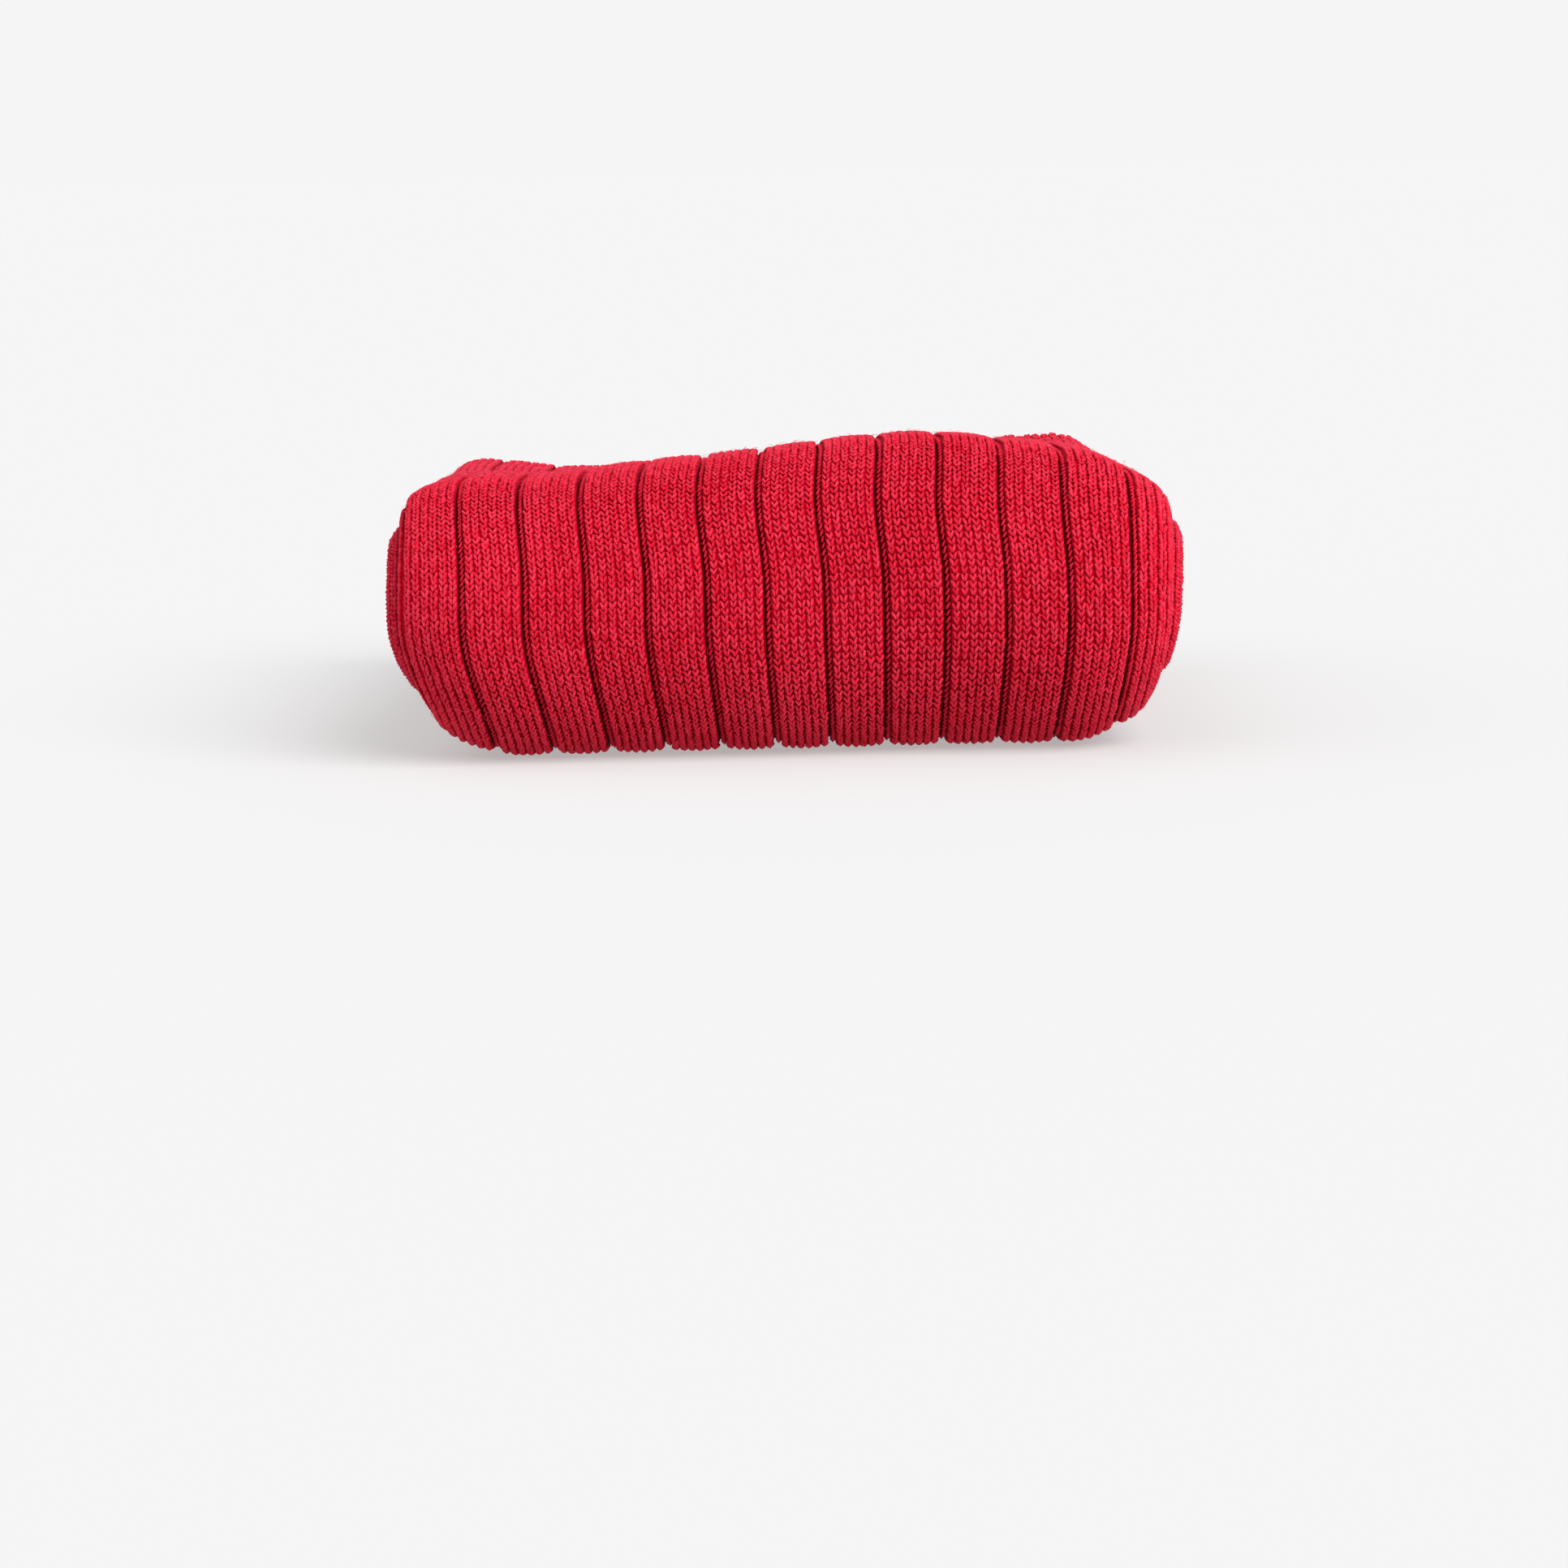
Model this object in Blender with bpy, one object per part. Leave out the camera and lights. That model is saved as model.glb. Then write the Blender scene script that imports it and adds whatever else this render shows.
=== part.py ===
"""A pair of ribbed cotton socks, laid one on the other and folded twice, lying on a flat surface.

Each sock is a knitted tube, open at its cuff and closed at its toe. Both are laid flat together, folded in half at
the heel, and folded in half again, so that eight flattened tubes lie on each other. The big fold is at the front.
Metres, +Z up, the front at -Y, and the origin under the middle of the pair. The sizes below are in millimetres.
"""

import math
from bisect import bisect_right
from collections import namedtuple

import bmesh
import bpy

MM = 0.001

# One sock
SOCK_LENGTH = 405.0
WALL = 1.7
HOLLOW = 0.35
MOUTH = 1.0
MOUTH_DEPTH = 7.0
SOCK_THICKNESS = 2 * WALL + HOLLOW
TOE_TAPER = 34.0
TOE_BLUNTNESS = 0.62

# The ribs of the leg, counted from the furrow next to the middle
RIB_PITCH = 7.28
RIB_PHASE = -1.75
RIB_SPREAD = 0.0068
FIRST_FURROW = -5
LAST_FURROW = 6
FURROW_HALF_WIDTH = 0.5
FURROW_DEPTH = 0.7
CROWN_RISE = 0.12
RIBS_START_OVER = 9.0
RIBS_END_OVER = 5.0

# The folded pair
LAYER_GAP = 0.5
LEVELS = 8
LEVEL_PITCH = SOCK_THICKNESS + LAYER_GAP
LOOP_RISE = 4.45
LOOP_LENGTH = 36.0
FRONT_TURN_Y = -36.0
BACK_TURN_Y = 43.2
OUTER_CUFF_Y = 49.6
INNER_CUFF_Y = 48.4

# How the weight of the cloth settles the pair
CREST_LENGTH = 68.0
FRONT_FLATTENING = 0.88
EDGE_STARTS = 36.0
EDGE_ENDS = 49.5
FRONT_PINCH = 0.33
BACK_PINCH = 0.24
TUCK_CENTRE = 12.0
TUCK_SHARE = 0.06
TUCK_HEIGHT = 18.0
LEAN = 0.9
LEAN_STARTS = 22.0
LEAN_ENDS = 34.0

# The plain heel, whose pouch lies gathered at the right end of the first fold
HEEL_ALONG = 212.0
HEEL_SPREAD = 24.0
PLAIN_HEEL_X = 24.0
PLAIN_HEEL_OVER = 6.0

# Where the middle of the settled pair lies
CENTRE_X = 0.78
CENTRE_Y = 0.75

Height = namedtuple("Height", "x front back")
Edge = namedtuple("Edge", "share left right")
HeelFold = namedtuple("HeelFold", "x half_width rise")
Wave = namedtuple("Wave", "size per_x per_y per_z start")
Station = namedtuple("Station", "y z across_y across_z along")
Column = namedtuple("Column", "turn x offset relief")

# How high the pair stands along its big fold and along its back
HEIGHTS = (
    Height(-48.0, 38.0, 34.2),
    Height(-43.0, 36.2, 32.8),
    Height(-38.0, 34.9, 31.2),
    Height(-28.0, 34.7, 30.1),
    Height(-18.0, 35.8, 30.6),
    Height(-8.0, 36.6, 31.0),
    Height(0.0, 37.4, 31.2),
    Height(8.0, 38.4, 31.4),
    Height(18.0, 39.0, 31.8),
    Height(24.0, 38.6, 32.2),
    Height(30.0, 37.8, 32.6),
    Height(36.0, 37.0, 33.6),
    Height(41.0, 36.6, 33.6),
    Height(48.0, 37.4, 33.4),
)

# Where each sock's two side edges lie, from its cuff to its toe
OUTER_EDGES = (
    Edge(0.00, -45.6, 47.0),
    Edge(0.20, -46.4, 47.3),
    Edge(0.28, -46.9, 47.9),
    Edge(0.44, -46.4, 47.9),
    Edge(0.53, -45.8, 50.2),
    Edge(0.64, -46.6, 47.0),
    Edge(0.77, -45.4, 47.6),
    Edge(1.00, -43.5, 44.5),
)
INNER_EDGES = (
    Edge(0.00, -47.4, 45.4),
    Edge(0.20, -48.0, 48.9),
    Edge(0.27, -48.5, 49.4),
    Edge(0.42, -47.6, 49.1),
    Edge(0.52, -46.6, 49.8),
    Edge(0.62, -48.0, 47.8),
    Edge(0.76, -47.2, 49.0),
    Edge(1.00, -45.0, 43.6),
)

HEEL_FOLDS = (
    HeelFold(38.5, 5.0, 1.1),
    HeelFold(46.5, 4.0, 1.0),
)

# Slow waves that keep the cloth from lying ruler straight, in mm and radians per mm
SIDE_WAVES = (
    Wave(0.30, 0.02, 0.075, 0.09, 0.4),
    Wave(0.14, 0.05, 0.190, 0.16, 2.1),
)
DEPTH_WAVES = (
    Wave(0.45, 0.065, 0.02, 0.06, 1.0),
    Wave(0.20, 0.170, 0.01, 0.13, 4.0),
)

BIG_TURN_STEPS = 16
MIDDLE_TURN_STEPS = 12
SMALL_TURN_STEPS = 8
SHOWN_RUN_STEPS = 12
HIDDEN_RUN_STEPS = 7
TOE_STEPS = 5
PLAIN_COLUMNS = (-42.0, -38.5, -34.0, -24.0, -8.0, 8.0, 24.0, 34.0, 38.5, 42.0)
HOLLOW_COLUMNS = (-40.0, -34.0, -18.0, 18.0, 34.0, 40.0)
LEAST_LEFT = -43.3
LEAST_RIGHT = 43.3
EDGE_ANGLES = (60.0, 20.0, -20.0, -60.0)
SKIN_END = -2
EDGE_TURN = 0.02
FACE_TURN = 1.1


def smooth(share):
    """0 to 1 with no corner at either end."""
    share = min(1.0, max(0.0, share))
    return share * share * (3.0 - 2.0 * share)


def read(rows, key, value, at):
    """A value between the rows of a table, on a smooth curve through them."""
    keys = [getattr(row, key) for row in rows]
    values = [getattr(row, value) for row in rows]
    last = len(rows) - 1
    if at <= keys[0]:
        return values[0]
    if at >= keys[last]:
        return values[last]

    def slope(row):
        before, after = max(0, row - 1), min(last, row + 1)
        return (values[after] - values[before]) / (keys[after] - keys[before])

    low = bisect_right(keys, at) - 1
    span = keys[low + 1] - keys[low]
    share = (at - keys[low]) / span
    rise = smooth(share)
    start = span * slope(low) * share * (1.0 - share) ** 2
    end = span * slope(low + 1) * share**2 * (1.0 - share)
    return values[low] * (1.0 - rise) + values[low + 1] * rise + start - end


def near_fold(y, length):
    """1 at the big fold, falling to 0 at a distance behind it."""
    return 1.0 - smooth((y - FRONT_TURN_Y) / length)


def level_height(level, y):
    """Height of the middle of a level before the pair settles; the upper levels pass over the big fold's loop."""
    height = SOCK_THICKNESS / 2 + (level - 1) * LEVEL_PITCH
    return height + (LOOP_RISE * near_fold(y, LOOP_LENGTH) if level > LEVELS / 2 else 0.0)


def run(level, start_y, end_y, steps):
    """Points of a sock's middle line along one level, as (y, z, across_y, across_z)."""
    points = []
    direction = math.copysign(1.0, end_y - start_y)
    for step in range(steps + 1):
        y = start_y + (end_y - start_y) * step / steps
        slope = (level_height(level, y + 0.05) - level_height(level, y - 0.05)) / 0.1
        length = math.hypot(1.0, slope)
        points.append((y, level_height(level, y), -direction * slope / length, direction / length))
    return points


def turn(centre_y, low, high, start, end, steps):
    """Points round a half circle between two levels, from one angle to another in degrees."""
    radius = (level_height(high, centre_y) - level_height(low, centre_y)) / 2
    centre_z = level_height(low, centre_y) + radius
    outward = 1.0 if end < start else -1.0
    points = []
    for step in range(1, steps):
        angle = math.radians(start + (end - start) * step / steps)
        y_share, z_share = math.cos(angle), math.sin(angle)
        place = (centre_y + radius * y_share, centre_z + radius * z_share)
        points.append(place + (outward * y_share, outward * z_share))
    return points


def toe_run(level, length):
    """The last level, with closer stations where the toe narrows."""
    taper_y = FRONT_TURN_Y + length - TOE_TAPER
    points = run(level, FRONT_TURN_Y, taper_y, 3)
    for step in range(1, TOE_STEPS + 1):
        y = taper_y + TOE_TAPER * math.sin(math.radians(90.0 * step / TOE_STEPS))
        points.append((y, level_height(level, y), 0.0, 1.0))
    return points


def measured(points):
    """Stations with their distance along the sock from the cuff."""
    stations = []
    along = 0.0
    for index, (y, z, across_y, across_z) in enumerate(points):
        if index:
            along += math.hypot(y - points[index - 1][0], z - points[index - 1][1])
        stations.append(Station(y, z, across_y, across_z, along))
    return stations


def folded_path(cuff_y, level, front_steps, back_steps, inner_steps):
    """A sock's middle line from cuff to toe: along a low level, round the big fold, back over the top, round the
    first fold, forward again, round the inside of the big fold and back to the toe."""
    top = LEVELS + 1 - level
    inner_top = LEVELS // 2 + level
    inner_low = LEVELS + 1 - inner_top
    points = run(level, cuff_y, FRONT_TURN_Y, HIDDEN_RUN_STEPS)
    points += turn(FRONT_TURN_Y, level, top, 270.0, 90.0, front_steps)
    points += run(top, FRONT_TURN_Y, BACK_TURN_Y, SHOWN_RUN_STEPS)
    points += turn(BACK_TURN_Y, inner_top, top, 90.0, -90.0, back_steps)
    points += run(inner_top, BACK_TURN_Y, FRONT_TURN_Y, HIDDEN_RUN_STEPS)
    points += turn(FRONT_TURN_Y, inner_low, inner_top, 90.0, 270.0, inner_steps)
    left = SOCK_LENGTH - measured(points)[-1].along
    return measured(points + toe_run(inner_low, left))


def waved(waves, x, y, z):
    return sum(wave.size * math.sin(wave.per_x * x + wave.per_y * y + wave.per_z * z + wave.start) for wave in waves)


def settled(x, y, z):
    """A point of the neatly stacked pair, moved to where the cloth's own weight takes it."""
    at_front = near_fold(y, CREST_LENGTH)
    stacked = level_height(LEVELS, y) + SOCK_THICKNESS / 2
    height = at_front * read(HEIGHTS, "x", "front", x) + (1.0 - at_front) * read(HEIGHTS, "x", "back", x)
    edge = min(1.0, max(0.0, (abs(x) - EDGE_STARTS) / (EDGE_ENDS - EDGE_STARTS)))
    pinch = 1.0 - (at_front * FRONT_PINCH + (1.0 - at_front) * BACK_PINCH) * edge**2
    z = height * (0.5 + (z / stacked - 0.5) * pinch)
    if y < FRONT_TURN_Y:
        y = FRONT_TURN_Y + (y - FRONT_TURN_Y) * FRONT_FLATTENING * pinch
    elif y > BACK_TURN_Y:
        y = BACK_TURN_Y + (y - BACK_TURN_Y) * pinch
    x -= (x - TUCK_CENTRE) * TUCK_SHARE * smooth((TUCK_HEIGHT - z) / TUCK_HEIGHT)
    x -= LEAN * smooth((z - LEAN_STARTS) / (LEAN_ENDS - LEAN_STARTS)) * (1.0 - edge)
    side, depth = waved(SIDE_WAVES, x, y, z), waved(DEPTH_WAVES, x, y, z)
    return ((x + side - CENTRE_X) * MM, (y + depth - CENTRE_Y) * MM, z * MM)


def edges_at(station, rows):
    """Left and right edge of the flattened tube at a station."""
    share = station.along / SOCK_LENGTH
    left, right = read(rows, "share", "left", share), read(rows, "share", "right", share)
    into_toe = min(1.0, max(0.0, 1.0 - (SOCK_LENGTH - station.along) / TOE_TAPER))
    width = math.sqrt(1.0 - TOE_BLUNTNESS * into_toe**2)
    return left * width, right * width


def thickness_at(station):
    """The flattened tube's thickness, thinner in the last millimetres of the toe."""
    return SOCK_THICKNESS * (0.45 + 0.55 * smooth((SOCK_LENGTH - station.along) / 4.0))


def near_heel(station):
    return smooth(1.0 - abs(station.along - HEEL_ALONG) / HEEL_SPREAD)


def heel_rise(station, x):
    """How far the gathered heel pouch lifts the outer sock's upper face."""
    lift = sum(fold.rise * smooth(1.0 - abs(x - fold.x) / fold.half_width) for fold in HEEL_FOLDS)
    return lift * near_heel(station)


def rib_share(station, x, first, last):
    """1 where the ribs stand out, 0 on the underside, in the hidden layers and on the plain heel."""
    ends = smooth((station.along - first) / RIBS_START_OVER) * smooth((last - station.along) / RIBS_END_OVER)
    return ends * (1.0 - near_heel(station) * smooth((x - PLAIN_HEEL_X) / PLAIN_HEEL_OVER))


def furrow_x(number):
    """Where a furrow lies across the leg; the ribs widen a little towards the edges."""
    return RIB_PHASE + number * RIB_PITCH + number**3 * RIB_SPREAD


def rib_columns():
    """Columns of the outer face that shape the ribs, as (x, relief)."""
    columns = []
    for number in range(FIRST_FURROW, LAST_FURROW + 1):
        x = furrow_x(number)
        columns.append((x - FURROW_HALF_WIDTH, 0.0))
        columns.append((x, -FURROW_DEPTH))
        columns.append((x + FURROW_HALF_WIDTH, 0.0))
        if number < LAST_FURROW:
            columns.append(((x + furrow_x(number + 1)) / 2, CROWN_RISE))
    return columns


def edge_columns(x, outward, half, first_turn, angles):
    """The rounded side edge of a flattened tube."""
    columns = []
    for index, degrees in enumerate(angles):
        angle = math.radians(degrees)
        reach = outward * half * math.cos(angle)
        columns.append(Column(first_turn + index * EDGE_TURN, x + reach, half * math.sin(angle), 0.0))
    return columns


def across(left, right, columns):
    """Places across a face from edge to edge: fixed columns between the edges, drawn in where the toe narrows."""
    share = min(1.0, left / LEAST_LEFT, right / LEAST_RIGHT)
    return [left, *(x * share for x in columns), right]


def ring(station, rows, ribs):
    """The outer skin's columns round the flattened tube: outer face, right edge, inner face, left edge."""
    left, right = edges_at(station, rows)
    half = thickness_at(station) / 2
    left, right = left + half, right - half
    plain = across(left, right, PLAIN_COLUMNS)
    face = [(left, 0.0), *ribs, (right, 0.0)] if ribs else [(x, 0.0) for x in plain]
    columns = [Column((x - left) / (right - left), x, half, relief) for x, relief in face]
    columns += edge_columns(right, 1.0, half, 1.0 + EDGE_TURN, EDGE_ANGLES)
    columns += [Column(FACE_TURN + (right - x) / (right - left), x, -half, 0.0) for x in reversed(plain)]
    return columns + edge_columns(left, -1.0, half, FACE_TURN + 1.0 + EDGE_TURN, EDGE_ANGLES[::-1])


def hollow_ring(station, rows):
    """The columns round the space inside the flattened tube, which opens a little at the cuff."""
    left, right = edges_at(station, rows)
    half = (HOLLOW + (MOUTH - HOLLOW) * smooth(1.0 - station.along / MOUTH_DEPTH)) / 2
    left, right = left + WALL, right - WALL
    face = across(left, right, HOLLOW_COLUMNS)
    upper = [Column((x - left) / (right - left), x, half, 0.0) for x in face]
    lower = [Column(FACE_TURN + (right - x) / (right - left), x, -half, 0.0) for x in reversed(face)]
    return upper + lower


def add_ring(mesh, station, columns, shown=None):
    """Adds a ring's vertices, each with its place round the tube. A shown ring has its ribs and heel raised."""
    vertices = []
    for column in columns:
        offset = column.offset
        if shown and column.offset > 0.0:
            offset += column.relief * rib_share(station, column.x, *shown) + heel_rise(station, column.x)
        y = station.y + offset * station.across_y
        z = station.z + offset * station.across_z
        vertices.append((column.turn, mesh.verts.new(settled(column.x, y, z))))
    return vertices


def join_rings(mesh, first, second):
    """Faces between two closed rings, which may differ in their number of vertices."""
    whole = 2 * FACE_TURN
    a, b = 0, 0
    while a < len(first) or b < len(second):
        next_a = first[a + 1][0] if a + 1 < len(first) else whole
        next_b = second[b + 1][0] if b + 1 < len(second) else whole
        here_a, here_b = first[a % len(first)][1], second[b % len(second)][1]
        ahead_a, ahead_b = first[(a + 1) % len(first)][1], second[(b + 1) % len(second)][1]
        if a < len(first) and b < len(second) and abs(next_a - next_b) < 1e-9:
            mesh.faces.new((here_a, ahead_a, ahead_b, here_b))
            a, b = a + 1, b + 1
        elif b >= len(second) or (a < len(first) and next_a < next_b):
            mesh.faces.new((here_a, ahead_a, here_b))
            a += 1
        else:
            mesh.faces.new((here_a, ahead_b, here_b))
            b += 1


def close_end(mesh, ring_vertices, start):
    """Closes a flattened ring with a strip between its upper and its lower vertices."""
    count = len(ring_vertices)
    steps = range(count // 2)
    pairs = [(ring_vertices[(start + step) % count], ring_vertices[(start - 1 - step) % count]) for step in steps]
    for (upper, lower), (next_upper, next_lower) in zip(pairs, pairs[1:]):
        mesh.faces.new((upper, next_upper, next_lower, lower))


def sock_mesh(name, stations, rows, shown):
    """One sock as a closed wall: its outer skin, the hollow inside it, the cuff's rim and the closed toe.
    The stretch that is shown, between two distances from the cuff, has the ribs and the heel."""
    mesh = bmesh.new()
    skin = []
    for station in stations:
        here = shown if shown and shown[0] <= station.along <= shown[1] else None
        skin.append(add_ring(mesh, station, ring(station, rows, rib_columns() if here else []), here))
    for near, far in zip(skin, skin[1:]):
        join_rings(mesh, near, far)
    close_end(mesh, [vertex for _, vertex in skin[-1]], SKIN_END)

    open_inside = [station for station in stations if station.along <= SOCK_LENGTH - 3 * WALL]
    hollow = [add_ring(mesh, station, hollow_ring(station, rows)) for station in open_inside]
    for near, far in zip(hollow, hollow[1:]):
        join_rings(mesh, far, near)
    close_end(mesh, [vertex for _, vertex in reversed(hollow[-1])], 0)
    join_rings(mesh, hollow[0], skin[0])

    bmesh.ops.triangulate(mesh, faces=mesh.faces[:])
    data = bpy.data.meshes.new(name)
    mesh.to_mesh(data)
    mesh.free()
    return data


def cotton(name, colour):
    """Knitted cotton, matt all over."""
    material = bpy.data.materials.new(name)
    material.use_nodes = True
    shader = material.node_tree.nodes["Principled BSDF"]
    shader.inputs["Base Color"].default_value = (*colour, 1.0)
    shader.inputs["Roughness"].default_value = 0.85
    shader.inputs["Metallic"].default_value = 0.0
    material.diffuse_color = (*colour, 1.0)
    return material


def add_sock(name, stations, rows, material, shown=None):
    data = sock_mesh(name, stations, rows, shown)
    data.materials.append(material)
    data.shade_smooth()
    data.set_sharp_from_angle(angle=math.radians(45.0))
    bpy.context.scene.collection.objects.link(bpy.data.objects.new(name, data))


def main():
    for item in list(bpy.data.objects):
        bpy.data.objects.remove(item)
    red = cotton("red_cotton_rib", (0.60, 0.012, 0.035))

    outer = folded_path(OUTER_CUFF_Y, 1, BIG_TURN_STEPS, MIDDLE_TURN_STEPS, SMALL_TURN_STEPS)
    shown = (OUTER_CUFF_Y - FRONT_TURN_Y, HEEL_ALONG + HEEL_SPREAD)
    add_sock("outer_sock", outer, OUTER_EDGES, red, shown)

    inner = folded_path(INNER_CUFF_Y, 2, BIG_TURN_STEPS, SMALL_TURN_STEPS, MIDDLE_TURN_STEPS)
    add_sock("inner_sock", inner, INNER_EDGES, red)


main()
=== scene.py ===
"""A pair of ribbed red cotton socks, laid one on the other and folded twice: cloth, stitches and finish.

The sizes are in millimetres, the frame is in metres, +Z is up and the big fold is at -Y.
"""

import math
from collections import namedtuple

import bpy
import numpy as np
from mathutils import Euler, Matrix, Vector


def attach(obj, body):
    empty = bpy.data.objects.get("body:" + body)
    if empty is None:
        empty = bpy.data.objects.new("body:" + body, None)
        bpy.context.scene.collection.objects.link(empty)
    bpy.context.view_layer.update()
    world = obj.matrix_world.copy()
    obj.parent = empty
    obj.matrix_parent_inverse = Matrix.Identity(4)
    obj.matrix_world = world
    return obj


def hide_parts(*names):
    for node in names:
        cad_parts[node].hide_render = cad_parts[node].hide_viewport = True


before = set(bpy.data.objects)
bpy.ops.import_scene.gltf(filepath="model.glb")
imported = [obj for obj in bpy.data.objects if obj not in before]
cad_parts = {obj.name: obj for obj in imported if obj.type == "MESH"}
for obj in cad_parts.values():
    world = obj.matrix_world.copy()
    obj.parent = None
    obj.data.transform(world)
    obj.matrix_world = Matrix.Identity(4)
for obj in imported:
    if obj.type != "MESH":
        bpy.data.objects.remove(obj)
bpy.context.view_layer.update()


# The outer sock's cloth. It is one knitted cotton tube, flattened and folded in four with the other sock, so
# that its leg covers the top, the big fold and the underside. This closed wall is the ground of the knitting,
# a little below the crowns of the stitches, with the hollow of the flattened tube inside it.
MM = 0.001
BODY = "root"
SOCK_LENGTH = 405.0
WALL = 1.7
HOLLOW = 0.35
MOUTH = 1.0
MOUTH_DEPTH = 7.0
SOCK_THICKNESS = 2 * WALL + HOLLOW
SOLID_TIP = 3 * WALL
TOE_TAPER = 34.0
TOE_BLUNTNESS = 0.62
TOE_THINS_OVER = 4.0
TOE_THIN_SHARE = 0.45

LEVELS = 8
LEVEL_PITCH = SOCK_THICKNESS + 0.5
LOOP_RISE = 4.45
LOOP_LENGTH = 36.0
FRONT_TURN_Y = -36.0
BACK_TURN_Y = 43.2
OUTER_CUFF_Y = 49.6
PATH_STEP = 0.5
SLOPE_STEP = 0.05

CREST_LENGTH = 68.0
FRONT_FLATTENING = 0.88
EDGE_STARTS = 36.0
EDGE_ENDS = 49.5
FRONT_PINCH = 0.33
BACK_PINCH = 0.24
TUCK_CENTRE = 12.0
TUCK_SHARE = 0.06
TUCK_HEIGHT = 18.0
LEAN = 0.9
LEAN_STARTS = 22.0
LEAN_ENDS = 34.0
CENTRE_X = 0.78
CENTRE_Y = 0.75

RIB_PITCH = 7.28
RIB_PHASE = -1.75
RIB_SPREAD = 0.0068
FURROWS = range(-8, 9)
FURROW_ROOM = 1.02
FURROW_ACROSS = (-0.56, -0.40, -0.16, 0.04, 0.42, 0.56)
FURROW_HEIGHTS = (0.0, -0.95, -0.80, -0.56, -0.52, 0.0)
RIB_COLUMNS = (1.6, 3.6, 5.6)
CROWN_RISE = 0.40
CROWN_FLATNESS = 2.3
RIBS_END = 236.0
RIBS_END_OVER = 5.0
HEEL_ALONG = 212.0
HEEL_SPREAD = 24.0
PLAIN_HEEL_X = 24.0
PLAIN_HEEL_OVER = 6.0
PUCKER_RISE = 0.26
PUCKER_ROOM = 0.45
PUCKER_ROWS = (1.9, 0.35)
PUCKER_COLUMNS = (-0.2, 1.25)
UNDERSIDE_ENDS = 90.0
UNDERSIDE_RELIEF = 0.3
WORN_ALONG = 134.0
WORN_OVER = 16.0
WORN_SHARE = 0.30
WORN_LEFT_SHARE = 0.35
WORN_LEFT_X = -12.0
WORN_LEFT_OVER = 24.0
RIB_REACH = 52.0

YARN_BELOW_SKIN = 0.19
RESTS_DEEPER = 0.49
RESTS_UNTIL = 92.0
RESTS_OVER = 4.0
GROUND_BELOW_YARN = 0.20
# The ground's colour is painted shade: lighter on the ribs, darker in the furrows and between the low fold's
# wales.
GROUND_CROWN = 1.35
FURROW_SHADE_DEPTH = 0.35
LOW_UNTIL = 114.0
LOW_OVER = 16.0
LOW_GAP_SHADE = 0.45
OUTER_SHOWS_UNTIL = 244.0
SHOWN_STEP = 2.0
HIDDEN_STEP = 5.0
TOE_RINGS = 14
HOLLOW_RING_EVERY = 4
EDGE_ANGLES = (15.0, 35.0, 55.0, 75.0)
FACE_LIMIT = 44.6
PLAIN_REACH = 42.0
PLAIN_COLUMNS = 22

Height = namedtuple("Height", "x front back")
Edge = namedtuple("Edge", "share left right")
HeelFold = namedtuple("HeelFold", "x half_width rise")
Wave = namedtuple("Wave", "size per_x per_y per_z start")
Sock = namedtuple("Sock", "edges ribs_end heel_folds creases along y z across_y across_z")
Crease = namedtuple("Crease", "x along reach_x reach_along lift")

HEIGHTS = (
    Height(-48.0, 36.4, 33.4),
    Height(-43.0, 35.4, 32.4),
    Height(-38.0, 34.9, 31.2),
    Height(-28.0, 34.7, 30.1),
    Height(-18.0, 35.8, 30.6),
    Height(-8.0, 36.6, 31.0),
    Height(0.0, 37.4, 31.2),
    Height(8.0, 38.4, 31.4),
    Height(18.0, 39.0, 31.8),
    Height(24.0, 38.6, 32.2),
    Height(30.0, 37.8, 32.6),
    Height(36.0, 37.0, 33.6),
    Height(41.0, 36.3, 33.4),
    Height(48.0, 35.8, 32.6),
)
OUTER_EDGES = (
    Edge(0.00, -45.6, 47.0),
    Edge(0.20, -46.4, 47.3),
    Edge(0.28, -46.9, 47.9),
    Edge(0.44, -46.4, 47.9),
    Edge(0.53, -45.8, 50.2),
    Edge(0.64, -46.6, 47.0),
    Edge(0.77, -45.4, 47.6),
    Edge(1.00, -43.5, 44.5),
)
OUTER_HEEL_FOLDS = (
    HeelFold(36.5, 3.0, -0.40),
    HeelFold(42.0, 3.6, 0.75),
    HeelFold(46.0, 2.6, -0.35),
)
SIDE_WAVES = (
    Wave(0.30, 0.02, 0.075, 0.09, 0.4),
    Wave(0.14, 0.05, 0.190, 0.16, 2.1),
)
DEPTH_WAVES = (
    Wave(0.45, 0.065, 0.02, 0.06, 1.0),
    Wave(0.20, 0.170, 0.01, 0.13, 4.0),
)

# Soft troughs and ridges of the outer sock, on the big fold first, then over the top and round the back
OUTER_CREASES = (
    Crease(-36.0, 128.0, 9.0, 7.0, -0.35),
    Crease(-21.0, 137.0, 14.0, 5.0, -0.30),
    Crease(-3.0, 118.0, 6.0, 16.0, 0.16),
    Crease(22.0, 112.0, 7.0, 14.0, 0.18),
    Crease(36.0, 131.0, 7.0, 6.0, -0.28),
    Crease(-30.0, 158.0, 22.0, 4.5, -0.42),
    Crease(4.0, 166.0, 17.0, 5.5, 0.30),
    Crease(-12.0, 183.0, 20.0, 5.0, -0.38),
    Crease(26.0, 190.0, 12.0, 6.5, -0.45),
    Crease(-33.0, 205.0, 12.0, 7.0, 0.26),
    Crease(12.0, 213.0, 15.0, 5.0, -0.34),
    Crease(-20.0, 229.0, 13.0, 4.0, -0.30),
)


def smooth(share):
    """0 to 1 with no corner at either end."""
    share = np.clip(share, 0.0, 1.0)
    return share * share * (3.0 - 2.0 * share)


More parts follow.
